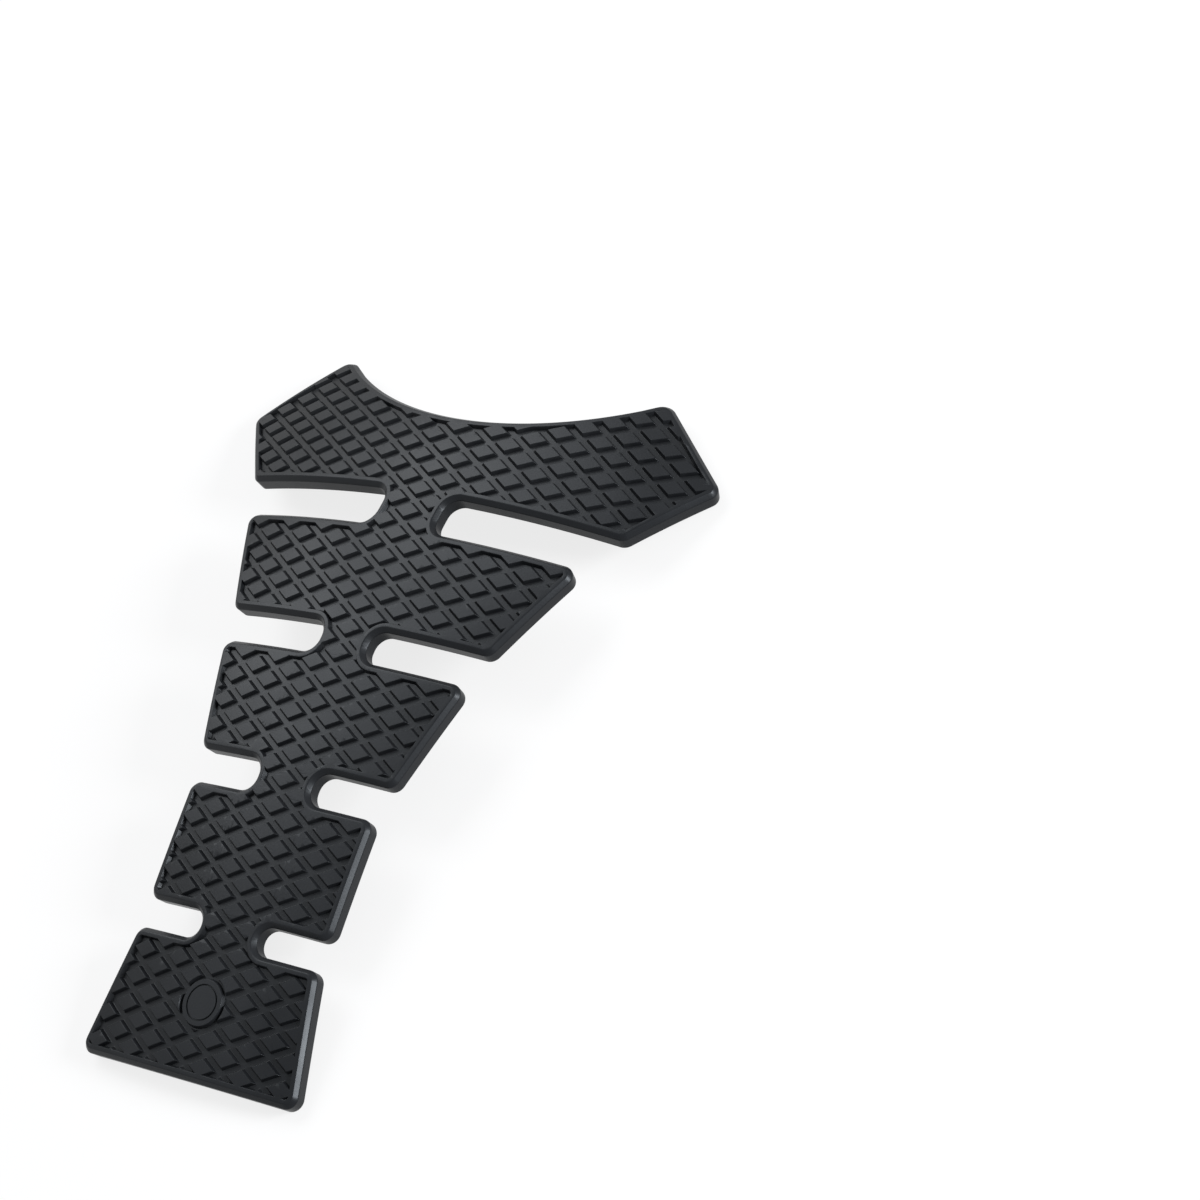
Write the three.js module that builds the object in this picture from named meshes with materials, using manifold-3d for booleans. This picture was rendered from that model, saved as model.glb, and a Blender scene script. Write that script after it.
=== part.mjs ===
// Rubber pad for a motorcycle tank: one moulding, bent to the tank, with raised diamonds on top.
// Millimetres. X runs across the pad, Y from its back edge towards its wide front, Z up.
import * as THREE from "three";
import Module from "manifold-3d";

// The pad laid flat. Stations run along its middle from the back edge to the front tips.
const thickness = 4.4;
const bevel = 1.1; // slope all round the top edge
const land = 2.1; // plain border between the outline and the grooves
const cornerRadius = 3;
const tipRadius = 4;
const slotEndRadius = 3.9;
const slotEndShare = 0.49; // a narrow slot's end corners round off this share of its width

// Four blocks from back to front, each with the slot in front of it and the neck which that leaves.
const rearBlock = { length: 32.2, backHalf: 34, frontHalf: 28.1, slot: 7.1, neckHalf: 8.9 };
const waistBlock = { length: 30.2, backHalf: 28.4, frontHalf: 28.4, slot: 8.4, neckHalf: 8.5 };
const middleBlock = { length: 28.7, backHalf: 30.1, frontHalf: 38.2, slot: 8.6, neckHalf: 7.4 };
const foreBlock = { length: 27.9, backHalf: 40.3, frontHalf: 52.7, slot: 10.6, neckHalf: 9.4 };
const blocks = [rearBlock, waistBlock, middleBlock, foreBlock];
// The front block widens to its shoulders, then narrows to two tips beside a hollow front edge.
const wing = {
  backHalf: 58.6,
  shoulderHalf: 74.8,
  shoulderAhead: 21.4,
  tipHalf: 50.2,
  tipAhead: 42.1,
  hollow: 18.4,
};

// Grooves run both ways across the pad and leave diamonds.
const diamondAcross = 11.5;
const diamondAlong = 6.71;
const firstCrossing = 3.73; // station of the rearmost crossing on the middle line
const grooveDepth = 1;
const grooveTop = 2.2;
const grooveFloor = 1.3;

// A plain round boss in a ring groove, in the middle of the rear block.
const bossStation = 18.2;
const bossRadius = 5.6;
const ringWidth = 1.2;
const ringSides = 18;

// The bend: the middle line curves less towards the back, the ribs across it curve a little more.
const spineRadiusFront = 241;
const spineRadiusBack = 2500;
const ribRadiusFront = 247;
const ribRadiusBack = 204;

const arcStep = Math.PI / 6; // largest turn between two points of a rounded corner
const hollowStep = 7; // distance between two points of the front edge
const spineSteps = 40;
const pitchHalvings = 40;
const weldDistance = 0.0005;

// Outline: the right side from back to front, then the front edge, then the left side mirrored.
const rightSide = [];
let station = 0;
for (const b of blocks) {
  const front = station + b.length;
  const next = front + b.slot;
  const slotRadius = Math.min(slotEndRadius, b.slot * slotEndShare);
  rightSide.push(
    { x: b.backHalf, y: station, r: cornerRadius },
    { x: b.frontHalf, y: front, r: cornerRadius },
    { x: b.neckHalf, y: front, r: slotRadius },
    { x: b.neckHalf, y: next, r: slotRadius },
  );
  station = next;
}
const tip = { x: wing.tipHalf, y: station + wing.tipAhead, r: tipRadius };
rightSide.push(
  { x: wing.backHalf, y: station, r: cornerRadius },
  { x: wing.shoulderHalf, y: station + wing.shoulderAhead, r: cornerRadius },
  tip,
);
const padLength = tip.y;

// The hollow front edge is one arc through both tips, its lowest point on the middle line.
const hollowRadius = (tip.x ** 2 + wing.hollow ** 2) / (2 * wing.hollow);
const hollowHalfAngle = Math.asin(tip.x / hollowRadius);
const hollowCentre = tip.y - wing.hollow + hollowRadius;
const hollowCount = Math.round((2 * hollowHalfAngle * hollowRadius) / hollowStep);
const frontEdge = [];
for (let i = 1; i < hollowCount; i++) {
  const angle = hollowHalfAngle * (1 - (2 * i) / hollowCount);
  frontEdge.push({
    x: hollowRadius * Math.sin(angle),
    y: hollowCentre - hollowRadius * Math.cos(angle),
    r: 0,
  });
}
const leftSide = rightSide.map((c) => ({ ...c, x: -c.x })).reverse();

// Each corner of a closed line turned into an arc that touches both its edges.
function roundCorners(corners) {
  return corners.flatMap((corner, i) => {
    const here = new THREE.Vector2(corner.x, corner.y);
    if (!corner.r) return [here];
    const before = corners.at(i - 1);
    const after = corners[(i + 1) % corners.length];
    const back = new THREE.Vector2(before.x, before.y).sub(here).normalize();
    const on = new THREE.Vector2(after.x, after.y).sub(here).normalize();
    const halfOpening = Math.acos(back.dot(on)) / 2;
    const turn = Math.PI - 2 * halfOpening;
    const side = Math.sign(on.cross(back));
    const toCentre = corner.r / Math.sin(halfOpening);
    const centre = back.clone().add(on).setLength(toCentre).add(here);
    const start = back.clone().multiplyScalar(corner.r / Math.tan(halfOpening)).add(here).sub(centre);
    const steps = Math.ceil(turn / arcStep);
    return Array.from({ length: steps + 1 }, (_, k) =>
      start.clone().rotateAround(new THREE.Vector2(), (side * turn * k) / steps).add(centre),
    );
  });
}

// A closed line moved inwards by a distance, each point along its mitre.
function inset(points, distance) {
  return points.map((p, i) => {
    const a = p.clone().sub(points.at(i - 1)).normalize();
    const b = points[(i + 1) % points.length].clone().sub(p).normalize();
    const mitre = new THREE.Vector2(-a.y - b.y, a.x + b.x).multiplyScalar(distance / (1 + a.dot(b)));
    return p.clone().add(mitre);
  });
}

// Closed body through equal rings of points, each ring flat at its own height, lowest first.
function loft(rings) {
  const count = rings[0].points.length;
  const position = rings.flatMap((ring) => ring.points.flatMap((p) => [p.x, p.y, ring.z]));
  const index = [];
  for (let k = 0; k + 1 < rings.length; k++) {
    for (let i = 0; i < count; i++) {
      const j = (i + 1) % count;
      const [a, b, c, d] = [k * count + i, k * count + j, (k + 1) * count + j, (k + 1) * count + i];
      index.push(a, b, c, a, c, d);
    }
  }
  const top = (rings.length - 1) * count;
  for (const [a, b, c] of THREE.ShapeUtils.triangulateShape(rings[0].points, [])) index.push(a, c, b);
  for (const [a, b, c] of THREE.ShapeUtils.triangulateShape(rings.at(-1).points, [])) {
    index.push(top + a, top + b, top + c);
  }
  const geometry = new THREE.BufferGeometry();
  geometry.setAttribute("position", new THREE.Float32BufferAttribute(position, 3));
  return geometry.setIndex(index);
}

// Points closer together than the weld distance become one, and triangles that this flattens go.
function weld(positions) {
  const grid = new Map();
  const points = [];
  const size = 4 * weldDistance;
  const near = [-1, 0, 1];
  const index = positions.map((p) => {
    const [i, j, k] = p.map((value) => Math.floor(value / size));
    const isSame = (n) => Math.hypot(...points[n].map((value, axis) => value - p[axis])) < weldDistance;
    for (const a of near) {
      for (const b of near) {
        for (const c of near) {
          const same = grid.get(`${i + a},${j + b},${k + c}`)?.find(isSame);
          if (same !== undefined) return same;
        }
      }
    }
    const key = `${i},${j},${k}`;
    if (!grid.has(key)) grid.set(key, []);
    grid.get(key).push(points.length);
    points.push(p);
    return points.length - 1;
  });
  const kept = [];
  for (let t = 0; t < index.length; t += 3) {
    const [a, b, c] = index.slice(t, t + 3);
    if (a !== b && b !== c && c !== a) kept.push(a, b, c);
  }
  return { points, index: kept };
}

// Where an open edge passes through another open corner, its triangle is split there, so that the
// two sides of a seam share every point. Both sides may have moved by the weld distance.
function closeSeams({ points, index }) {
  for (;;) {
    const owner = new Map();
    index.forEach((a, i) => owner.set(`${a},${index[i % 3 === 2 ? i - 2 : i + 1]}`, i));
    const open = [...owner].filter(([edge]) => !owner.has(edge.split(",").reverse().join(",")));
    if (!open.length) return { points, index };
    const ends = new Set(open.flatMap(([edge]) => edge.split(",").map(Number)));
    const splits = new Map();
    for (const [edge, at] of open) {
      const [a, b] = edge.split(",").map(Number);
      const line = new THREE.Line3(new THREE.Vector3(...points[a]), new THREE.Vector3(...points[b]));
      const through = [...ends].find((c) => {
        if (c === a || c === b) return false;
        const p = new THREE.Vector3(...points[c]);
        return line.closestPointToPoint(p, true, new THREE.Vector3()).distanceTo(p) < 2 * weldDistance;
      });
      if (through !== undefined) splits.set(Math.floor(at / 3), { at, through });
    }
    if (!splits.size) throw new Error("a seam of the pad stays open");
    index = index.flatMap((v, i) => {
      if (i % 3) return [];
      const split = splits.get(i / 3);
      const face = index.slice(i, i + 3);
      if (!split) return face;
      const k = split.at % 3;
      const [a, b, c] = [face[k], face[(k + 1) % 3], face[(k + 2) % 3]];
      return split.through === c ? [] : [a, split.through, c, split.through, b, c];
    });
  }
}

// A point inside a level face, on one groove line only, isn't needed: it is drawn along that line
// into the next point wherever no triangle turns over.
function dropSparePoints({ points, index }) {
  const leastShare = 0.01; // least part of its area that a triangle keeps
  const faces = Array.from({ length: index.length / 3 }, (_, f) => index.slice(3 * f, 3 * f + 3));
  const around = points.map(() => new Set());
  faces.forEach((face, f) => face.forEach((v) => around[v].add(f)));
  const height = (v) => points[v][2];
  const isLevel = (f) => faces[f].every((v) => Math.abs(height(v) - height(faces[f][0])) < weldDistance);
  const area = (face) => {
    const [a, b, c] = face.map((v) => points[v]);
    return (b[0] - a[0]) * (c[1] - a[1]) - (b[1] - a[1]) * (c[0] - a[0]);
  };
  points.forEach((p, v) => {
    const axes = [0, 1].filter((axis) => Math.abs(p[axis] - Math.round(p[axis])) < weldDistance);
    if (axes.length !== 1 || ![...around[v]].every(isLevel)) return;
    const onLine = (w) => w !== v && Math.abs(points[w][axes[0]] - p[axes[0]]) < weldDistance;
    const moved = (face, target) => face.map((w) => (w === v ? target : w));
    const keepsSide = (f, w) => area(moved(faces[f], w)) / area(faces[f]) > leastShare;
    const target = [...around[v]]
      .flatMap((f) => faces[f])
      .filter(onLine)
      .find((w) => [...around[v]].every((f) => faces[f].includes(w) || keepsSide(f, w)));
    if (target === undefined) return;
    for (const f of around[v]) {
      if (faces[f].includes(target)) {
        faces[f].forEach((w) => w !== v && around[w].delete(f));
        faces[f] = [];
      } else {
        faces[f] = moved(faces[f], target);
        around[target].add(f);
      }
    }
    around[v].clear();
  });
  return { points, index: faces.flat() };
}

const wasm = await Module();
wasm.setup();

function closedBody({ points, index }) {
  const vertProperties = new Float32Array(points.flat());
  return new wasm.Manifold(new wasm.Mesh({ numProp: 3, vertProperties, triVerts: new Uint32Array(index) }));
}
function solid(geometry) {
  const { array, count } = geometry.toNonIndexed().getAttribute("position");
  return closedBody(weld(Array.from({ length: count }, (_, i) => [...array.subarray(3 * i, 3 * i + 3)])));
}
// Corners of all the triangles of a body, three by three.
function facePoints(body) {
  const { triVerts, vertProperties, numProp } = body.getMesh();
  return Array.from(triVerts, (v) => Array.from(vertProperties.subarray(v * numProp, v * numProp + 3)));
}

// The flat pad, its top at height zero, with the bevel round its top edge.
const corners = [...rightSide, ...frontEdge, ...leftSide];
const outline = roundCorners(corners);

// Skewed coordinates: the groove lines are the whole numbers of the first and of the second.
const skew = ({ x, y }) => {
  const along = (y - firstCrossing) / diamondAlong;
  return new THREE.Vector2(along + x / diamondAcross, along - x / diamondAcross);
};
const unskew = ([a, b, height]) => [
  ((a - b) * diamondAcross) / 2,
  ((a + b) * diamondAlong) / 2 + firstCrossing,
  height,
];
const slab = solid(
  loft([
    { points: outline.map(skew), z: -thickness },
    { points: outline.map(skew), z: -bevel },
    { points: inset(outline, bevel).map(skew), z: 0 },
  ]),
);
const firstLine = Math.floor(skew({ x: -wing.shoulderHalf, y: 0 }).x);
const lastLine = Math.ceil(skew({ x: wing.shoulderHalf, y: padLength }).x);
const lines = Array.from({ length: lastLine - firstLine + 1 }, (_, i) => firstLine + i);

// One groove, wider at the top, along the first or the second skewed direction.
const linePitch = diamondAlong * Math.cos(Math.atan2(diamondAlong, diamondAcross));
const above = 1; // how far cutting bodies stand over the top
const square = [[0, 0], [1, 0], [1, 1], [0, 1]];
function groove(line, alongFirst) {
  const half = [grooveFloor, grooveTop, grooveTop].map((width) => width / 2 / linePitch);
  const rings = [-grooveDepth, 0, above].map((z, i) => {
    const across = [line - half[i], line + half[i]];
    const on = [firstLine - 1, lastLine + 1];
    const [xs, ys] = alongFirst ? [on, across] : [across, on];
    const points = square.map(([i, j]) => new THREE.Vector2(xs[i], ys[j]));
    return { points, z };
  });
  return solid(loft(rings));
}
let grooves;
for (const line of lines) {
  for (const alongFirst of [true, false]) {
    const one = groove(line, alongFirst);
    grooves = grooves ? grooves.add(one) : one;
  }
}
const sharpOutline = corners.map(({ x, y }) => new THREE.Vector2(x, y));
const field = inset(sharpOutline, land).map(skew);
function boss(radius, low, high) {
  const circle = Array.from({ length: ringSides }, (_, i) => {
    const angle = (2 * Math.PI * (i + 0.5)) / ringSides;
    return { x: radius * Math.cos(angle), y: bossStation + radius * Math.sin(angle) };
  });
  return solid(loft([low, high].map((z) => ({ points: circle.map(skew), z }))));
}
const cutter = grooves
  .intersect(solid(loft([{ points: field, z: -2 * grooveDepth }, { points: field, z: 2 * above }])))
  .add(boss(bossRadius + ringWidth, -grooveDepth, above))
  .subtract(boss(bossRadius, -2 * grooveDepth, 2 * above));
// Made anew from its own triangles, so that faces in one plane count as one face from here on.
const flatPad = closedBody(weld(facePoints(slab.subtract(cutter))));

// The flat pad cut along every groove line, so that its faces are small enough to bend.
// The faces that lie in a cut are inside the pad and are left out again.
function strip(line, alongFirst) {
  const size = lastLine - firstLine + 2;
  const middleLine = (firstLine + lastLine) / 2;
  const box = new THREE.BoxGeometry(alongFirst ? size : 1, alongFirst ? 1 : size, 4 * thickness);
  const [x, y] = alongFirst ? [middleLine, line + 0.5] : [line + 0.5, middleLine];
  return solid(box.translate(x, y, 0));
}
const inCut = (face) =>
  [0, 1].some((axis) => {
    const line = Math.round(face[0][axis]);
    return face.every((p) => Math.abs(p[axis] - line) < weldDistance);
  });
const crossings = lines.map((line) => strip(line, false));
const positions = [];
for (const line of lines) {
  const band = flatPad.intersect(strip(line, true));
  if (band.isEmpty()) continue;
  for (const crossing of crossings) {
    const cell = band.intersect(crossing);
    if (cell.isEmpty()) continue;
    const faces = facePoints(cell);
    for (let t = 0; t < faces.length; t += 3) {
      const face = faces.slice(t, t + 3);
      if (!inCut(face)) positions.push(...face);
    }
  }
}
const flat = dropSparePoints(closeSeams(weld(positions)));

// Curvature of the middle line and of the ribs at a station, both changing evenly along the pad.
const between = (back, front, s) => 1 / back + (s / padLength) * (1 / front - 1 / back);
const ribCurvature = (s) => between(ribRadiusBack, ribRadiusFront, s);
const slope = (s) => (-s * (1 / spineRadiusBack + between(spineRadiusBack, spineRadiusFront, s))) / 2;

// Point of the middle line, summed over short straight steps of the mean slope.
function spinePoint(s) {
  let [y, z] = [0, 0];
  const step = s / spineSteps;
  for (let i = 0; i < spineSteps; i++) {
    const angle = slope((i + 0.5) * step);
    y += step * Math.cos(angle);
    z += step * Math.sin(angle);
  }
  return [y, z];
}

// Flat point (across, station, height over the top) to its place on the bent pad.
function bend([across, s, height]) {
  const radius = 1 / ribCurvature(s);
  const turn = across / radius;
  const drop = radius - (radius + height) * Math.cos(turn);
  const [y, z] = spinePoint(s);
  const angle = slope(s);
  return new THREE.Vector3(
    (radius + height) * Math.sin(turn),
    y + drop * Math.sin(angle),
    z - drop * Math.cos(angle),
  );
}
const bent = flat.points.map(unskew).map(bend);

// Pitch at which the lowest points of the back half and of the front half are level.
const lowest = (half, pitch) =>
  Math.min(...half.map((p) => p.y * Math.sin(pitch) + p.z * Math.cos(pitch)));
const middle = spinePoint(padLength / 2)[0];
const backHalf = bent.filter((p) => p.y < middle);
const frontHalf = bent.filter((p) => p.y >= middle);
let [low, high] = [0, Math.PI / 4];
for (let i = 0; i < pitchHalvings; i++) {
  const pitch = (low + high) / 2;
  if (lowest(frontHalf, pitch) < lowest(backHalf, pitch)) low = pitch;
  else high = pitch;
}

const geometry = new THREE.BufferGeometry().setFromPoints(bent).setIndex(flat.index);
geometry.rotateX(low);
geometry.computeBoundingBox();
const box = geometry.boundingBox;
geometry.translate(0, -(box.min.y + box.max.y) / 2, -box.min.z);
geometry.computeVertexNormals();

const rubber = new THREE.MeshStandardMaterial({ color: 0x2f3134, roughness: 0.62, metalness: 0 });
const pad = new THREE.Mesh(geometry, rubber);
pad.name = "tank_pad";

const group = new THREE.Group();
group.add(pad);
export default group;
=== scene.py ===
"""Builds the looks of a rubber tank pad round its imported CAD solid. Metres, +Z up."""

import math

import bmesh
import bpy
from bpy.props import FloatProperty, FloatVectorProperty, IntProperty, PointerProperty
from mathutils import Matrix, Vector
from mathutils.geometry import delaunay_2d_cdt


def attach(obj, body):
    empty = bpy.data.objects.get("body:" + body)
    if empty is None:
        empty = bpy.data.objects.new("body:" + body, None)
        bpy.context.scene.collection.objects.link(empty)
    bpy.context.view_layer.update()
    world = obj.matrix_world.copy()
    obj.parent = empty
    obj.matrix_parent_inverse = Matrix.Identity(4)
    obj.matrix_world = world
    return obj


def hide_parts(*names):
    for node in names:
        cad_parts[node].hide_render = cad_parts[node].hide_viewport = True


bl_info = {
    "name": "Tank Pad",
    "version": (1, 0, 0),
    "blender": (4, 5, 0),
    "location": "View3D > Sidebar > Tank Pad",
    "description": "Moulds a bent rubber tank pad with raised diamonds and sets it in a plain studio",
    "category": "Add Mesh",
}

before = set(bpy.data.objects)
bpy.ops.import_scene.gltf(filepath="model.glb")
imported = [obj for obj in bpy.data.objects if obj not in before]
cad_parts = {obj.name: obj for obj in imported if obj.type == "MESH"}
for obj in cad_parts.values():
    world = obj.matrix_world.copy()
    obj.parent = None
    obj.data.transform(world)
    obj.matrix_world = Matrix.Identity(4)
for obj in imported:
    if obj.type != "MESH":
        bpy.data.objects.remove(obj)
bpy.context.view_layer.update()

MM = 0.001
ARC_STEP = math.radians(9)  # largest turn between two points of a rounded corner of the outline
EDGE_STEP = math.radians(25)  # the same for the small radii of moulded edges
PLAN_STEP = math.radians(45)  # the same for the diamonds' corners, seen from above
FRONT_LEAD = 7 * MM  # straight start of the hollow front edge, which holds the tips' rounding
FRONT_STEPS = 36  # steps in the rest of that edge
ROUND_SIDES = 64  # sides of the boss and of its rings
WELD = 2e-6  # points of the pad closer together than this become one
CELL_WELD = 1e-7  # the same inside one diamond
TINY_RADIUS = 1e-8  # a corner that is sharp, but has as many points as a rounded one
LONG_SIDE = 0.3  # sides of a diamond longer than this share of its half length are halved
SHARP_EDGE = math.radians(45)  # edges folded more than this are shaded as sharp
INSIDE_ONLY = 1  # of delaunay_2d_cdt: keep the triangles inside the line
CLEAR = 1 * MM  # how far helper bodies stand over what they cut

# The stage, in metres. Softboxes are aimed at the origin.
FLOOR_REACH = 3.0
SIDE_LIGHT_PLACE, SIDE_LIGHT_SIZE = (1.17, 0.31, 0.47), (0.45, 0.35)
BACK_LIGHT_PLACE, BACK_LIGHT_SIZE = (-0.95, 0.64, 1.11), (1.2, 0.9)
CAMERA_PLACE = (0.55290, -0.24266, 0.65367)
CAMERA_FORWARD = (-0.57521, 0.32915, -0.74886)
CAMERA_RIGHT = (0.80565, 0.38647, -0.44896)
CAMERA_LENS, CAMERA_SENSOR = 110.23, 36.0  # millimetres
CAMERA_NEAR, CAMERA_FAR = 0.05, 20


def length(name, description, millimetres):
    return FloatProperty(
        name=name, description=description, default=millimetres * MM, unit="LENGTH", precision=5
    )


def lengths(name, description, *millimetres):
    return FloatVectorProperty(
        name=name,
        description=description,
        size=len(millimetres),
        default=[value * MM for value in millimetres],
        unit="LENGTH",
        precision=5,
    )


def colour(name, description, value):
    return FloatVectorProperty(
        name=name, description=description, size=3, default=value, subtype="COLOR", min=0, max=1
    )


class OutlineSizes(bpy.types.PropertyGroup):
    """The pad laid flat: four blocks with slots between them, then the wide front block."""

    block_lengths: lengths("Block lengths", "The four blocks, from the back", 32.2, 30.2, 28.7, 27.9)
    block_backs: lengths("Block backs", "Half widths at their back edges", 34, 28.4, 30.1, 40.3)
    block_fronts: lengths("Block fronts", "Half widths at their front edges", 28.1, 28.4, 38.2, 52.7)
    slots: lengths("Slots", "Width of the slot in front of each block", 7.1, 8.4, 8.6, 10.6)
    necks: lengths("Necks", "Half width of the neck between each slot's ends", 8.9, 8.5, 7.4, 9.4)
    wing_back: length("Wing back", "Half width of the front block at its back edge", 58.6)
    shoulder: length("Shoulder", "Half width at the shoulders", 74.8)
    shoulder_ahead: length("Shoulder ahead", "From its back edge to the shoulders", 21.4)
    tip: length("Tip", "Half the distance between the two front tips", 50.2)
    tip_ahead: length("Tip ahead", "From its back edge to the tips", 42.1)
    hollow: length("Hollow", "Depth of the hollow front edge", 18.4)
    corner_radius: length("Corner radius", "Radius of the outline's corners", 3)
    tip_radius: length("Tip radius", "Radius of the two tips", 4)
    slot_radius: length("Slot radius", "Largest radius of a slot's inner corners", 3.9)
    slot_share: FloatProperty(
        name="Slot share", description="Share of a narrow slot's width that a corner takes", default=0.49
    )


class MouldSizes(bpy.types.PropertyGroup):
    """Thickness, edges and relief of the moulding."""

    thickness: length("Thickness", "From the back to the tops of the diamonds", 4.4)
    bevel: length("Bevel", "Slope all round the top edge", 1.1)
    bevel_radius: length("Bevel radius", "Rounding of the bevel's two edges", 0.5)
    base_radius: length("Base radius", "Rounding of the edge that lies on the tank", 0.3)
    land: length("Land", "Plain border between the outline and the grooves", 2.1)
    diamond_across: length("Diamond across", "Distance between groove crossings across", 11.5)
    diamond_along: length("Diamond along", "Distance between groove crossings along the pad", 6.71)
    first_crossing: length("First crossing", "From the back edge to the first crossing", 3.73)
    groove_depth: length("Groove depth", "Depth of the grooves", 1)
    groove_top: length("Groove top", "Width between the diamonds' top edges", 2.2)
    groove_floor: length("Groove floor", "Width at the floor", 1.3)
    edge_radius: length("Edge radius", "Rounding of the diamonds' top edges", 0.2)
    floor_radius: length("Floor radius", "Rounding along the groove floors", 0.15)
    corner_softness: length("Corner softness", "Radius of a diamond's corners seen from above", 0.08)
    boss_station: length("Boss station", "From the back edge to the boss", 18.2)
    boss_radius: length("Boss radius", "Radius of the plain round boss", 5.6)
    ring_width: length("Ring width", "Width of the groove round the boss", 1.2)
    inner_radius: length("Inner radius", "Radius of the disc inside the boss's own fine ring", 3.9)
    inner_width: length("Inner width", "Width of that fine ring", 0.7)
    inner_depth: length("Inner depth", "Depth of that fine ring", 0.35)


class BendSizes(bpy.types.PropertyGroup):
    """How the pad is bent: along its middle line, and across it in ribs."""

    spine_front: length("Spine front", "Radius of the middle line at the front tips", 241)
    spine_back: length("Spine back", "Radius of the middle line at the back edge", 2500)
    rib_front: length("Rib front", "Radius across the pad at the front tips", 247)
    rib_back: length("Rib back", "Radius across the pad at the back edge", 204)
    pitch: FloatProperty(
        name="Pitch",
        description="Turn that brings the lowest corners at both ends to one level",
        default=math.radians(10.39985),
        subtype="ANGLE",
    )
    spine_steps: IntProperty(name="Spine steps", description="Straight steps in the middle line", default=400)


class Finish(bpy.types.PropertyGroup):
    """The rubber, the floor and the light."""

    rubber: colour("Rubber", "Colour of the rubber", (0.0058, 0.0064, 0.0076))
    worn: colour("Handled rubber", "Its paler patches", (0.0085, 0.0093, 0.0108))
    groove_tone: colour("Groove colour", "Colour of the rubber low in the grooves", (0.0070, 0.0076, 0.0086))
    roughness: FloatProperty(name="Roughness", description="Mean roughness", default=0.34)
    shine: FloatProperty(name="Shine", description="Strength of the rubber's reflections", default=0.165)
    sheen: colour("Reflection colour", "Cool cast of the rubber's reflections", (0.86, 0.93, 1.0))
    floor: colour("Floor", "Colour of the floor", (0.80, 0.81, 0.83))
    floor_glow: FloatProperty(
        name="Floor glow", description="Share of plain white in what is seen of the floor", default=0.8
    )
    ambient: FloatProperty(name="Ambient", description="Strength of the even light", default=0.35)
    side_power: FloatProperty(
        name="Side light", description="Softbox low at the right", default=24, unit="POWER"
    )
    back_power: FloatProperty(
        name="Back light", description="Softbox over the back left", default=18, unit="POWER"
    )


SETTINGS = {
    "tank_pad_outline": OutlineSizes,
    "tank_pad_mould": MouldSizes,
    "tank_pad_bend": BendSizes,
    "tank_pad_finish": Finish,
}


class Value:
    """A number inside a node tree. Arithmetic on it adds the Math nodes that work it out."""

    def __init__(self, graph, socket):
        self.graph, self.socket = graph, socket

    def __add__(self, other):
        return self.graph.math("ADD", self, other)

    def __sub__(self, other):
        return self.graph.math("SUBTRACT", self, other)

    def __mul__(self, other):
        return self.graph.math("MULTIPLY", self, other)

    def __truediv__(self, other):
        return self.graph.math("DIVIDE", self, other)

    def __neg__(self):
        return self.graph.math("MULTIPLY", self, -1.0)


class Graph:
    """A node tree being filled."""

    def __init__(self, tree):
        self.tree = tree
        tree.nodes.clear()

    def put(self, kind, inputs=(), **settings):
        node = self.tree.nodes.new(kind)
        for name, value in settings.items():
            setattr(node, name, value)
        for name, value in dict(inputs).items():
            self.feed(node.inputs[name], value)
        return node

    def feed(self, socket, value):
        if isinstance(value, (list, tuple)) and socket.is_multi_input:
            for one in value:
                self.feed(socket, one)
        elif isinstance(value, Value):
            self.tree.links.new(value.socket, socket)
        elif isinstance(value, bpy.types.NodeSocket):
            self.tree.links.new(value, socket)
        else:
            socket.default_value = value

    def math(self, operation, *values):
        node = self.put("ShaderNodeMath", operation=operation)
        for socket, value in zip(node.inputs, values):
            self.feed(socket, value)
        return Value(self, node.outputs[0])

    def vector(self, x=0.0, y=0.0, z=0.0):
        return self.put("ShaderNodeCombineXYZ", {"X": x, "Y": y, "Z": z}).outputs[0]


class Shaper(Graph):
    """A Geometry Nodes tree with named inputs."""

    KINDS = {"length": "Float", "angle": "Float", "count": "Int", "object": "Object", "material": "Material"}
    SUBTYPES = {"length": "DISTANCE", "angle": "ANGLE"}

    def __init__(self, name, inputs):
        super().__init__(bpy.data.node_groups.new(name, "GeometryNodeTree"))
        face = self.tree.interface
        face.new_socket("Geometry", in_out="INPUT", socket_type="NodeSocketGeometry")
        face.new_socket("Geometry", in_out="OUTPUT", socket_type="NodeSocketGeometry")
        for title, kind in inputs.items():
            made = face.new_socket(title, in_out="INPUT", socket_type="NodeSocket" + self.KINDS[kind])
            if kind in self.SUBTYPES:
                made.subtype = self.SUBTYPES[kind]
        self.entry = self.put("NodeGroupInput")
        self.exit = self.put("NodeGroupOutput")

    def __getitem__(self, title):
        socket = self.entry.outputs[title]
        return Value(self, socket) if socket.type in ("VALUE", "INT") else socket

    def finish(self, geometry, material):
        real = self.put("GeometryNodeRealizeInstances", {"Geometry": geometry})
        painted = self.put("GeometryNodeSetMaterial", {"Geometry": real.outputs[0], "Material": material})
        self.feed(self.exit.inputs[0], painted.outputs[0])
        return self.tree

    def use_on(self, body, values):
        """Adds the tree to an object as a modifier and sets its inputs by their identifiers."""
        modifier = body.modifiers.new(self.tree.name, "NODES")
        modifier.node_group = self.tree
        for item in self.tree.interface.items_tree:
            if item.in_out == "INPUT" and item.name in values:
                modifier[item.identifier] = values[item.name]


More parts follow.
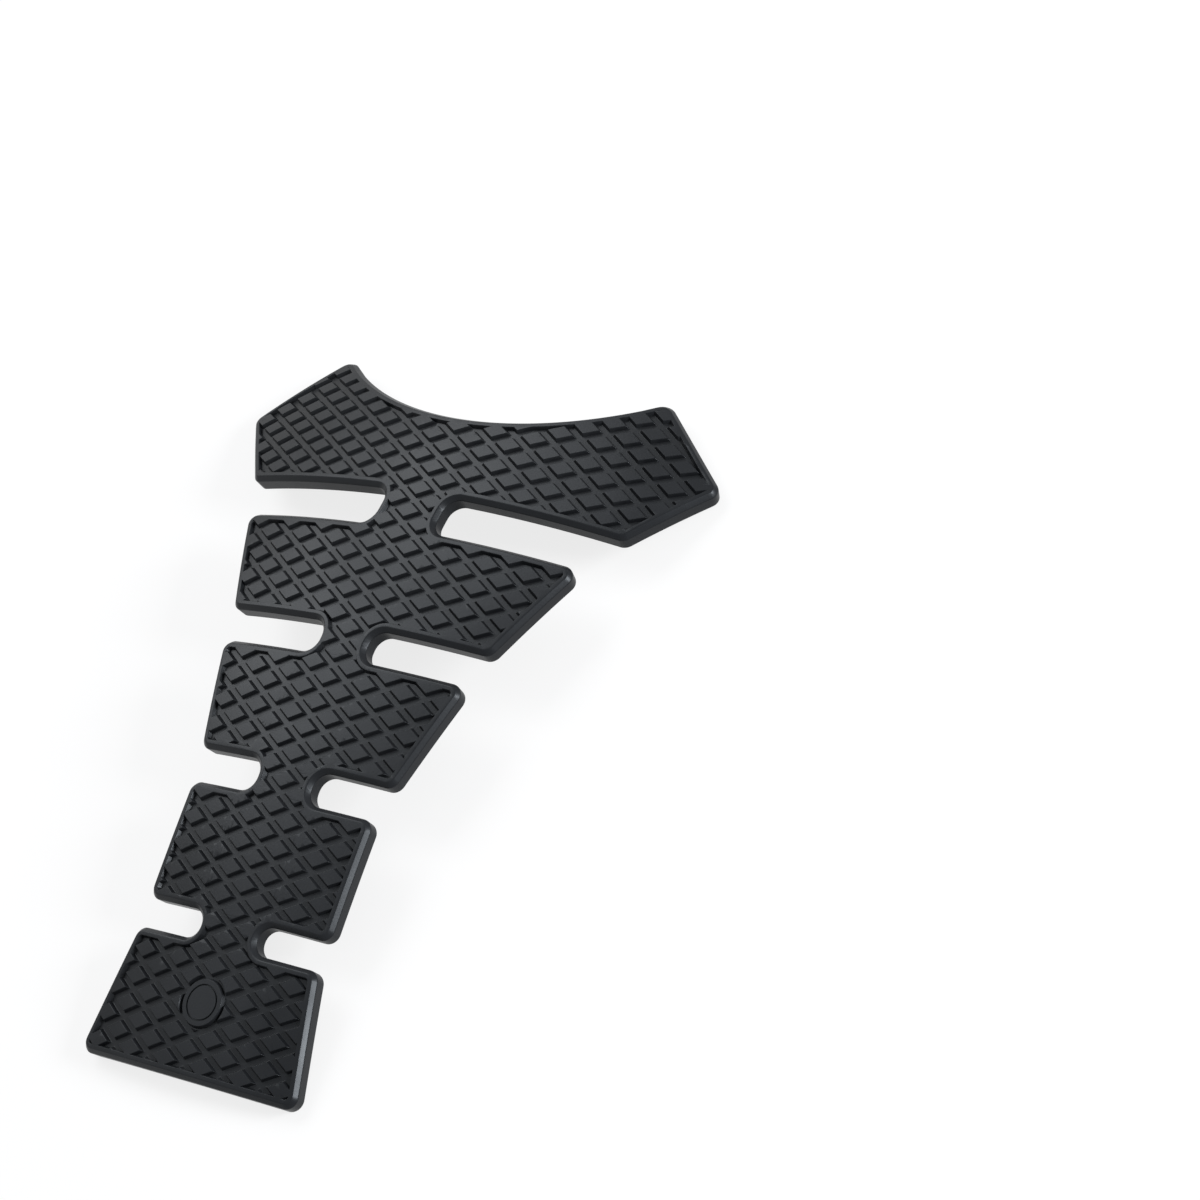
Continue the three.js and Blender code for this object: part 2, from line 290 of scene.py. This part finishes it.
def round_corners(corners, step):
    """Each corner (x, y, radius) of a line, turned anticlockwise, becomes an arc that touches both edges."""
    points = []
    for i, (x, y, radius) in enumerate(corners):
        here = Vector((x, y))
        if not radius:
            points.append(here)
            continue
        back = (Vector(corners[i - 1][:2]) - here).normalized()
        on = (Vector(corners[(i + 1) % len(corners)][:2]) - here).normalized()
        half_opening = back.angle(on) / 2
        turn = math.pi - 2 * half_opening
        side = math.copysign(1, on.x * back.y - on.y * back.x)
        centre = here + (back + on).normalized() * radius / math.sin(half_opening)
        start = here + back * radius / math.tan(half_opening) - centre
        steps = math.ceil(turn / step)
        for k in range(steps + 1):
            points.append(centre + Matrix.Rotation(side * turn * k / steps, 2) @ start)
    return points


def inset(points, distance):
    """A closed line moved inwards, each point along its mitre."""
    moved = []
    for i, point in enumerate(points):
        before = (point - points[i - 1]).normalized()
        after = (points[(i + 1) % len(points)] - point).normalized()
        mitre = Vector((-before.y - after.y, before.x + after.x))
        moved.append(point + mitre * distance / (1 + before.dot(after)))
    return moved


def pad_outline(sizes):
    """The outline's points, and the length of the pad from its back edge to its tips."""
    right, station = [], 0
    rows = zip(sizes.block_lengths, sizes.block_backs, sizes.block_fronts, sizes.slots, sizes.necks)
    for block, back, front, slot, neck in rows:
        slot_radius = min(sizes.slot_radius, slot * sizes.slot_share)
        right.append((back, station, sizes.corner_radius))
        right.append((front, station + block, sizes.corner_radius))
        right.append((neck, station + block, slot_radius))
        station += block + slot
        right.append((neck, station, slot_radius))
    pad_length = station + sizes.tip_ahead
    right.append((sizes.wing_back, station, sizes.corner_radius))
    right.append((sizes.shoulder, station + sizes.shoulder_ahead, sizes.corner_radius))
    right.append((sizes.tip, pad_length, sizes.tip_radius))
    radius = (sizes.tip**2 + sizes.hollow**2) / (2 * sizes.hollow)
    half_angle = math.asin(sizes.tip / radius)
    centre = pad_length - sizes.hollow + radius
    first_angle = half_angle - FRONT_LEAD / radius
    front_edge = []
    for i in range(FRONT_STEPS + 1):
        angle = first_angle * (1 - 2 * i / FRONT_STEPS)
        front_edge.append((radius * math.sin(angle), centre - radius * math.cos(angle), 0))
    left = [(-x, y, r) for x, y, r in reversed(right)]
    return round_corners(right + front_edge + left, ARC_STEP), pad_length


def loft(name, rings):
    """Closed body through equal rings of points, each flat at its own height, lowest first."""
    mesh = bmesh.new()
    made = [[mesh.verts.new((*point, z)) for point in points] for points, z in rings]
    for low, high in zip(made, made[1:]):
        for i in range(len(low)):
            j = (i + 1) % len(low)
            mesh.faces.new((low[i], low[j], high[j], high[i]))
    for ring, points, facing in ((made[0], rings[0][0], -1), (made[-1], rings[-1][0], 1)):
        for corners in delaunay_2d_cdt(points, [], [range(len(points))], INSIDE_ONLY, 0)[2]:
            mesh.faces.new([ring[i] for i in corners][::facing])
    return mesh_object(name, mesh)


def mesh_object(name, mesh):
    data = bpy.data.meshes.new(name)
    mesh.to_mesh(data)
    mesh.free()
    body = bpy.data.objects.new(name, data)
    bpy.context.scene.collection.objects.link(body)
    return body


def circle(radius, station):
    turns = [2 * math.pi * (i + 0.5) / ROUND_SIDES for i in range(ROUND_SIDES)]
    return [Vector((radius * math.cos(a), station + radius * math.sin(a))) for a in turns]


def flat_pad(outline, mould):
    """The plain moulding: rounded base edge, upright side, bevel with rounded edges, flat top."""
    corners = [
        (mould.bevel + CLEAR, -mould.thickness, 0),
        (0, -mould.thickness, mould.base_radius),
        (0, -mould.bevel, mould.bevel_radius),
        (mould.bevel, 0, mould.bevel_radius),
        (mould.bevel + CLEAR, 0, 0),
    ]
    side = round_corners([(-x, y, r) for x, y, r in corners], EDGE_STEP)[1:-1]
    return loft("flat_pad", [(inset(outline, -x), z) for x, z in side])


def cut_for_bending(body, mould, pad_length):
    """Cuts the flat faces along every groove and halfway between, so that they can bend."""
    mesh = bmesh.new()
    mesh.from_mesh(body.data)
    reach = max(abs(corner[0]) for corner in body.bound_box)
    rise = reach * mould.diamond_along / mould.diamond_across
    step = mould.diamond_along / 2
    first = -math.ceil((rise + mould.first_crossing) / step)
    last = math.ceil((pad_length + rise - mould.first_crossing) / step)
    for side in (-1, 1):
        normal = (side * mould.diamond_along, mould.diamond_across, 0)
        for i in range(first, last + 1):
            point = (0, mould.first_crossing + i * step, 0)
            everything = [*mesh.verts, *mesh.edges, *mesh.faces]
            bmesh.ops.bisect_plane(mesh, geom=everything, dist=WELD / 2, plane_co=point, plane_no=normal)
    mesh.to_mesh(body.data)
    mesh.free()


def groove_wall(mould):
    """One half of a groove's section, from its floor to a little over the diamonds' tops."""
    top, floor = mould.groove_top / 2, mould.groove_floor / 2
    corners = [
        (0, -mould.groove_depth, 0),
        (floor, -mould.groove_depth, mould.floor_radius),
        (top, 0, mould.edge_radius),
        (top + CLEAR / 2, CLEAR / 20, 0),
    ]
    return round_corners(corners, EDGE_STEP)


def diamond_cell(mould):
    """One diamond, seen from above, with half of each groove round it: rings of a rounded rhombus."""
    half_across, half_along = mould.diamond_across / 2, mould.diamond_along / 2
    half_pitch = half_along * math.cos(math.atan2(half_along, half_across))
    rings = []
    for distance, height in groove_wall(mould):
        share = 1 - distance / half_pitch
        radius = mould.corner_softness if distance else TINY_RADIUS
        x, y = half_across * share, half_along * share
        ring = round_corners([(x, 0, radius), (0, y, radius), (-x, 0, radius), (0, -y, radius)], PLAN_STEP)
        split = []
        for i, point in enumerate(ring):
            split.append(point)
            after = ring[(i + 1) % len(ring)]
            if (point - after).length > LONG_SIDE * y:
                split.append((point + after) / 2)
        rings.append((split, height))
    mesh = bmesh.new()
    made = [[mesh.verts.new((*point, z)) for point in points] for points, z in rings]
    for outer, inner in zip(made, made[1:]):
        for i in range(len(outer)):
            j = (i + 1) % len(outer)
            mesh.faces.new((outer[i], outer[j], inner[j], inner[i]))
    centre = mesh.verts.new((0, 0, rings[-1][1]))
    for i, vertex in enumerate(made[-1]):
        mesh.faces.new((vertex, made[-1][(i + 1) % len(made[-1])], centre))
    bmesh.ops.remove_doubles(mesh, verts=mesh.verts, dist=CELL_WELD)
    return mesh_object("diamond_cell", mesh)


def groove_end(mould):
    """Section of the wall at a groove's end, from under its floor up: how far out, how high."""
    lean = (mould.groove_top - mould.groove_floor) / 2
    corners = [
        (-lean, -2 * mould.groove_depth, 0),
        (-lean, -mould.groove_depth, 0),
        (0, 0, mould.edge_radius),
        (CLEAR / 2, CLEAR / 20, 0),
        (CLEAR / 2, CLEAR, 0),
    ]
    return round_corners(corners, EDGE_STEP)


def field_pocket(outline, mould):
    """The space that the grooves stay in, inside the land."""
    return loft("field", [(inset(outline, mould.land - x), z) for x, z in groove_end(mould)])


def ring_pocket(mould):
    """The disc that is cut out of the diamonds for the boss and the groove round it."""
    radius = mould.boss_radius + mould.ring_width
    walls = groove_end(mould)[1:]
    return loft("ring", [(circle(radius + x, mould.boss_station), z) for x, z in walls])


def boss_body(mould):
    """The plain disc that stays in the middle of the ring pocket."""
    walls = [(mould.boss_radius - x, z) for x, z in groove_end(mould)]
    walls.append((walls[-1][0], 2 * CLEAR))
    return loft("boss", [(circle(radius, mould.boss_station), z) for radius, z in walls])


def inner_ring(mould):
    """The fine ring that is cut into the boss, as a tube with leaning walls."""
    mesh = bmesh.new()
    inner, outer = mould.inner_radius, mould.inner_radius + mould.inner_width
    lean, depth = mould.inner_width / 4, mould.inner_depth
    section = [(inner + lean, -depth), (outer - lean, -depth), (outer, CLEAR), (inner, CLEAR)]
    made = [[mesh.verts.new((*p, z)) for p in circle(r, mould.boss_station)] for r, z in section]
    for i, low in enumerate(made):
        high = made[i - 1]
        for j in range(ROUND_SIDES):
            k = (j + 1) % ROUND_SIDES
            mesh.faces.new((low[j], low[k], high[k], high[j]))
    bmesh.ops.recalc_face_normals(mesh, faces=mesh.faces)
    return mesh_object("inner_ring", mesh)


def relief_tree():
    """Cuts the grooves between the diamonds into a flat pad, inside its border, and the ring."""
    g = Shaper(
        "Diamond relief",
        {
            "Diamond Cell": "object",
            "Field": "object",
            "Ring": "object",
            "Boss": "object",
            "Inner Ring": "object",
            "Diamond Across": "length",
            "Diamond Along": "length",
            "First Crossing": "length",
            "Groove Depth": "length",
            "Pad Length": "length",
            "Pad Width": "length",
            "Sharp Edge": "angle",
            "Material": "material",
        },
    )

    def body(title):
        return g.put("GeometryNodeObjectInfo", {"Object": g[title]}).outputs["Geometry"]

    def combine(operation, first, others):
        feeds = {"Mesh 2": others} if first is None else {"Mesh 1": first, "Mesh 2": others}
        return g.put("GeometryNodeMeshBoolean", feeds, operation=operation, solver="MANIFOLD").outputs[0]

    def split(vector):
        parts = g.put("ShaderNodeSeparateXYZ", {"Vector": vector}).outputs
        return [Value(g, parts[axis]) for axis in "XYZ"]

    # The diamonds' centres: a square grid of whole numbers, skewed into the lattice.
    along, across = g["Diamond Along"], g["Diamond Across"]
    half_length = g["Pad Length"] / 2.0
    half_width = g["Pad Width"] / 2.0
    reach = g.math("CEIL", (half_length + half_width * along / across) / along) + 1.0
    side = reach * 2.0
    grid = g.put(
        "GeometryNodeMeshGrid",
        {"Size X": side, "Size Y": side, "Vertices X": side + 1.0, "Vertices Y": side + 1.0},
    ).outputs[0]
    middle = g.math("ROUND", (half_length - g["First Crossing"]) / along)
    a, b, _ = split(g.put("GeometryNodeInputPosition").outputs[0])
    x = (a - b) * across / 2.0
    y = g["First Crossing"] + (a + b + middle * 2.0 + 1.0) * along / 2.0
    centres = g.put("GeometryNodeSetPosition", {"Geometry": grid, "Position": g.vector(x=x, y=y)}).outputs[0]
    x, y, _ = split(g.put("GeometryNodeInputPosition").outputs[0])
    beside = g.math("GREATER_THAN", g.math("ABSOLUTE", x), half_width + across)
    beyond = g.math("GREATER_THAN", g.math("ABSOLUTE", y - half_length), half_length + along)
    near = g.put(
        "GeometryNodeDeleteGeometry", {"Geometry": centres, "Selection": g.math("MAXIMUM", beside, beyond)}
    ).outputs[0]
    cells = g.put(
        "GeometryNodeInstanceOnPoints", {"Points": near, "Instance": body("Diamond Cell")}
    ).outputs[0]
    loose = g.put("GeometryNodeRealizeInstances", {"Geometry": cells}).outputs[0]
    sheet = g.put("GeometryNodeMergeByDistance", {"Geometry": loose, "Distance": WELD}).outputs[0]

    # The sheet of diamonds becomes a block over it, which is what the mould takes away.
    rise = g.vector(z=g["Groove Depth"] * 2.0)
    raised = g.put(
        "GeometryNodeExtrudeMesh",
        {"Mesh": sheet, "Offset": rise, "Offset Scale": 1.0, "Individual": False},
    ).outputs[0]
    under = g.put("GeometryNodeFlipFaces", {"Mesh": sheet}).outputs[0]
    joined = g.put("GeometryNodeJoinGeometry", {"Geometry": [raised, under]}).outputs[0]
    block = g.put("GeometryNodeMergeByDistance", {"Geometry": joined, "Distance": WELD}).outputs[0]
    grooves = combine("INTERSECT", None, [block, body("Field")])
    with_ring = combine("UNION", None, [grooves, body("Ring")])
    round_boss = combine("DIFFERENCE", with_ring, [body("Boss")])
    cutter = combine("UNION", None, [round_boss, body("Inner Ring")])
    cut = combine("DIFFERENCE", g["Geometry"], [cutter])
    clean = g.put("GeometryNodeMergeByDistance", {"Geometry": cut, "Distance": WELD}).outputs[0]

    _, _, height = split(g.put("GeometryNodeInputPosition").outputs[0])
    depth = g.math("MINIMUM", -height / g["Groove Depth"], 1.0)
    marked = g.put(
        "GeometryNodeStoreNamedAttribute",
        {"Geometry": clean, "Name": "depth", "Value": depth},
        data_type="FLOAT",
        domain="POINT",
    ).outputs[0]
    smooth = g.put("GeometryNodeSetShadeSmooth", {"Geometry": marked, "Shade Smooth": True}).outputs[0]
    fold = Value(g, g.put("GeometryNodeInputMeshEdgeAngle").outputs["Unsigned Angle"])
    creased = g.put(
        "GeometryNodeSetShadeSmooth",
        {
            "Geometry": smooth,
            "Selection": g.math("GREATER_THAN", fold, g["Sharp Edge"]),
            "Shade Smooth": False,
        },
        domain="EDGE",
    ).outputs[0]
    g.finish(creased, g["Material"])
    return g


def bend_tree():
    """Bends a flat pad along its middle line and across it, and stands it on its lowest corners."""
    g = Shaper(
        "Bend to the tank",
        {
            "Pad Length": "length",
            "Spine Front": "length",
            "Spine Back": "length",
            "Rib Front": "length",
            "Rib Back": "length",
            "Spine Steps": "count",
            "Pitch": "angle",
            "Material": "material",
        },
    )
    pad_length = g["Pad Length"]

    def between(back, front, station):
        """Curvature at a station, which changes evenly along the pad."""
        start = g.math("DIVIDE", 1.0, back)
        return start + (g.math("DIVIDE", 1.0, front) - start) * (station / pad_length)

    def slope(station):
        mean = g.math("DIVIDE", 1.0, g["Spine Back"]) + between(g["Spine Back"], g["Spine Front"], station)
        return -(station * mean / 2.0)

    # The middle line, as a curve through the sums of short straight steps.
    step = pad_length / g["Spine Steps"]
    index = Value(g, g.put("GeometryNodeInputIndex").outputs[0])
    heading = slope((index + 0.5) * step)
    stride = g.vector(y=step * g.math("COSINE", heading), z=step * g.math("SINE", heading))
    place = g.put("GeometryNodeAccumulateField", {"Value": stride}, data_type="FLOAT_VECTOR")
    steps = g.put("GeometryNodeMeshLine", {"Count": g["Spine Steps"] + 1, "Offset": (0, 0, 0)}).outputs[0]
    placed = g.put("GeometryNodeSetPosition", {"Geometry": steps, "Position": place.outputs["Trailing"]})
    spine = g.put("GeometryNodeMeshToCurve", {"Mesh": placed.outputs[0]}).outputs[0]

    position = g.put("GeometryNodeInputPosition").outputs[0]
    parts = g.put("ShaderNodeSeparateXYZ", {"Vector": position}).outputs
    across, station, height = (Value(g, parts[axis]) for axis in "XYZ")
    on_spine = g.put("GeometryNodeSampleCurve", {"Curves": spine, "Length": station}, mode="LENGTH")
    spine_parts = g.put("ShaderNodeSeparateXYZ", {"Vector": on_spine.outputs["Position"]}).outputs
    spine_y, spine_z = (Value(g, spine_parts[axis]) for axis in "YZ")
    radius = g.math("DIVIDE", 1.0, between(g["Rib Back"], g["Rib Front"], station))
    turn = across / radius
    drop = radius - (radius + height) * g.math("COSINE", turn)
    lean = slope(station)
    bent = g.put(
        "GeometryNodeSetPosition",
        {
            "Geometry": g["Geometry"],
            "Position": g.vector(
                x=(radius + height) * g.math("SINE", turn),
                y=spine_y + drop * g.math("SINE", lean),
                z=spine_z - drop * g.math("COSINE", lean),
            ),
        },
    ).outputs[0]

    pitched = g.put(
        "GeometryNodeTransform", {"Geometry": bent, "Rotation": g.vector(x=g["Pitch"])}
    ).outputs[0]
    box = g.put("GeometryNodeBoundBox", {"Geometry": pitched}).outputs
    low, high = (g.put("ShaderNodeSeparateXYZ", {"Vector": box[end]}).outputs for end in ("Min", "Max"))
    middle = (Value(g, low["Y"]) + Value(g, high["Y"])) / 2.0
    shift = g.vector(y=-middle, z=-Value(g, low["Z"]))
    stood = g.put("GeometryNodeTransform", {"Geometry": pitched, "Translation": shift}).outputs[0]
    g.finish(stood, g["Material"])
    return g


def rubber_material(finish):
    """Satin black moulded rubber: fine grain, paler handled patches, another black in the grooves."""
    material = bpy.data.materials.new("moulded_rubber")
    material.use_nodes = True
    g = Graph(material.node_tree)
    place = g.put("ShaderNodeTexCoord").outputs["Object"]

    def noise(scale, detail):
        return g.put("ShaderNodeTexNoise", {"Vector": place, "Scale": scale, "Detail": detail}).outputs["Fac"]

    def spread(value, low, high, to_low, to_high):
        return g.put(
            "ShaderNodeMapRange",
            {"Value": value, "From Min": low, "From Max": high, "To Min": to_low, "To Max": to_high},
        ).outputs["Result"]

    def mix(share, first, second):
        node = g.put("ShaderNodeMix", {"Factor": share}, data_type="RGBA")
        for title, value in (("A", first), ("B", second)):
            g.feed(next(s for s in node.inputs if s.name == title and s.type == "RGBA"), value)
        return next(s for s in node.outputs if s.type == "RGBA")

    grain, patches = noise(1800, 3), noise(45, 4)
    depth = g.put("ShaderNodeAttribute", attribute_name="depth").outputs["Fac"]
    in_groove = spread(depth, 0.55, 1.0, 0.0, 1.0)
    handled = spread(patches, 0.4, 0.65, 0.0, 1.0)
    # Low in the grooves, by depth and in noisy patches, the rubber takes one colour of its own, between the
    # plain and the handled rubber.
    groove_tone_share = g.math("MULTIPLY", in_groove, spread(noise(420, 3), 0.35, 0.7, 0.35, 1.0))
    rubber = mix(handled, (*finish.rubber, 1), (*finish.worn, 1))
    bumps = {"Height": grain, "Strength": 0.35, "Distance": 0.04 * MM}
    shader = g.put(
        "ShaderNodeBsdfPrincipled",
        {
            "Base Color": mix(groove_tone_share, rubber, (*finish.groove_tone, 1)),
            "Roughness": spread(patches, 0.3, 0.7, finish.roughness - 0.05, finish.roughness + 0.07),
            "Normal": g.put("ShaderNodeBump", bumps).outputs[0],
            "IOR": 1.5,
            "Specular IOR Level": finish.shine,
            "Specular Tint": (*finish.sheen, 1),
        },
    )
    g.put("ShaderNodeOutputMaterial", {"Surface": shader.outputs[0]})
    return material


class TANKPAD_OT_pad(bpy.types.Operator):
    """Mould the pad flat, cut its diamonds, bend it and set it in place of its CAD solid"""

    bl_idname = "tank_pad.mould"
    bl_label = "Mould the Pad"

    def execute(self, context):
        scene = context.scene
        mould, bend = scene.tank_pad_mould, scene.tank_pad_bend
        outline, pad_length = pad_outline(scene.tank_pad_outline)
        pad = flat_pad(outline, mould)
        pad.name = "tank_pad_rubber"
        cut_for_bending(pad, mould, pad_length)
        helpers = {
            "Diamond Cell": diamond_cell(mould),
            "Field": field_pocket(outline, mould),
            "Ring": ring_pocket(mould),
            "Boss": boss_body(mould),
            "Inner Ring": inner_ring(mould),
        }
        rubber = rubber_material(scene.tank_pad_finish)
        relief_tree().use_on(
            pad,
            {
                **helpers,
                "Diamond Across": mould.diamond_across,
                "Diamond Along": mould.diamond_along,
                "First Crossing": mould.first_crossing,
                "Groove Depth": mould.groove_depth,
                "Pad Length": pad_length,
                "Pad Width": 2 * scene.tank_pad_outline.shoulder,
                "Sharp Edge": SHARP_EDGE,
                "Material": rubber,
            },
        )
        bend_tree().use_on(
            pad,
            {
                "Pad Length": pad_length,
                "Spine Front": bend.spine_front,
                "Spine Back": bend.spine_back,
                "Rib Front": bend.rib_front,
                "Rib Back": bend.rib_back,
                "Spine Steps": bend.spine_steps,
                "Pitch": bend.pitch,
                "Material": rubber,
            },
        )
        normals = pad.modifiers.new("Even shading", "WEIGHTED_NORMAL")
        normals.keep_sharp = True
        finished = bpy.data.meshes.new_from_object(pad.evaluated_get(context.evaluated_depsgraph_get()))
        pad.modifiers.clear()
        pad.data = finished
        finished.name = pad.name
        for helper in helpers.values():
            bpy.data.objects.remove(helper)
        if not finished.polygons:
            raise RuntimeError("the pad has no faces: the cuts failed")
        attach(pad, "root")
        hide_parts("tank_pad")
        return {"FINISHED"}


def softbox(name, place, size, power):
    data = bpy.data.lights.new(name, "AREA")
    data.shape, data.energy = "RECTANGLE", power
    data.size, data.size_y = size
    lamp = bpy.data.objects.new(name, data)
    lamp.location = place
    lamp.rotation_euler = (-Vector(place)).to_track_quat("-Z", "Y").to_euler()
    bpy.context.scene.collection.objects.link(lamp)


def seen_as_white(g):
    """1 on rays from the camera and on mirrored and transmitted ones, 0 on the rest."""
    path = g.put("ShaderNodeLightPath").outputs
    mirrored = g.math("MAXIMUM", path["Is Glossy Ray"], path["Is Transmission Ray"])
    return g.math("MAXIMUM", path["Is Camera Ray"], mirrored)


class TANKPAD_OT_stage(bpy.types.Operator):
    """Lay the pale floor, hang the soft lights and place the camera"""

    bl_idname = "tank_pad.stage"
    bl_label = "Set the Stage"

    def execute(self, context):
        scene, finish = context.scene, context.scene.tank_pad_finish
        self.lay_floor(finish)
        self.light(scene, finish)
        self.place_camera(scene)
        scene.view_settings.view_transform = "Standard"
        return {"FINISHED"}

    def lay_floor(self, finish):
        mesh = bmesh.new()
        corners = [(FLOOR_REACH * x, FLOOR_REACH * y) for x, y in ((-1, -1), (1, -1), (1, 1), (-1, 1))]
        mesh.faces.new([mesh.verts.new((*corner, 0)) for corner in corners])
        floor = mesh_object("floor", mesh)
        material = bpy.data.materials.new("pale_floor")
        material.use_nodes = True
        g = Graph(material.node_tree)
        place = g.put("ShaderNodeTexCoord").outputs["Object"]
        cloud = g.put("ShaderNodeTexNoise", {"Vector": place, "Scale": 6.0}).outputs["Fac"]
        rough = g.put("ShaderNodeMapRange", {"Value": cloud, "To Min": 0.6, "To Max": 0.7}).outputs["Result"]
        lit = g.put("ShaderNodeBsdfPrincipled", {"Base Color": (*finish.floor, 1), "Roughness": rough})
        white = g.put("ShaderNodeEmission", {"Color": (1, 1, 1, 1), "Strength": 1.0})
        glow = seen_as_white(g) * finish.floor_glow
        both = g.put("ShaderNodeMixShader", {0: glow, 1: lit.outputs[0], 2: white.outputs[0]})
        g.put("ShaderNodeOutputMaterial", {"Surface": both.outputs[0]})
        floor.data.materials.append(material)

    def light(self, scene, finish):
        world = bpy.data.worlds.new("studio")
        scene.world = world
        world.use_nodes = True
        g = Graph(world.node_tree)
        strength = g.math("MAXIMUM", seen_as_white(g), finish.ambient)
        even = g.put("ShaderNodeBackground", {"Color": (1, 1, 1, 1), "Strength": strength})
        g.put("ShaderNodeOutputWorld", {"Surface": even.outputs[0]})
        softbox("side_light", SIDE_LIGHT_PLACE, SIDE_LIGHT_SIZE, finish.side_power)
        softbox("back_light", BACK_LIGHT_PLACE, BACK_LIGHT_SIZE, finish.back_power)

    def place_camera(self, scene):
        data = bpy.data.cameras.new("camera")
        data.lens, data.sensor_width = CAMERA_LENS, CAMERA_SENSOR
        data.clip_start, data.clip_end = CAMERA_NEAR, CAMERA_FAR
        camera = bpy.data.objects.new("camera", data)
        forward = Vector(CAMERA_FORWARD).normalized()
        up = Vector(CAMERA_RIGHT).cross(forward).normalized()
        turned = Matrix((forward.cross(up), up, -forward)).transposed().to_4x4()
        camera.matrix_world = Matrix.Translation(CAMERA_PLACE) @ turned
        scene.collection.objects.link(camera)
        scene.camera = camera


class TANKPAD_PT_panel(bpy.types.Panel):
    bl_label = "Tank Pad"
    bl_idname = "TANKPAD_PT_panel"
    bl_space_type = "VIEW_3D"
    bl_region_type = "UI"
    bl_category = "Tank Pad"

    def draw(self, context):
        for operator in OPERATORS:
            self.layout.operator(operator.bl_idname)
        for name in SETTINGS:
            box = self.layout.box()
            group = getattr(context.scene, name)
            for key in group.bl_rna.properties.keys():
                if key not in ("rna_type", "name"):
                    box.prop(group, key)


OPERATORS = (TANKPAD_OT_pad, TANKPAD_OT_stage)
CLASSES = (*SETTINGS.values(), *OPERATORS, TANKPAD_PT_panel)


def register():
    for one in CLASSES:
        bpy.utils.register_class(one)
    for name, group in SETTINGS.items():
        setattr(bpy.types.Scene, name, PointerProperty(type=group))


def unregister():
    for name in SETTINGS:
        delattr(bpy.types.Scene, name)
    for one in reversed(CLASSES):
        bpy.utils.unregister_class(one)


def main():
    register()
    bpy.ops.tank_pad.mould()
    bpy.ops.tank_pad.stage()


if __name__ == "__main__":
    main()
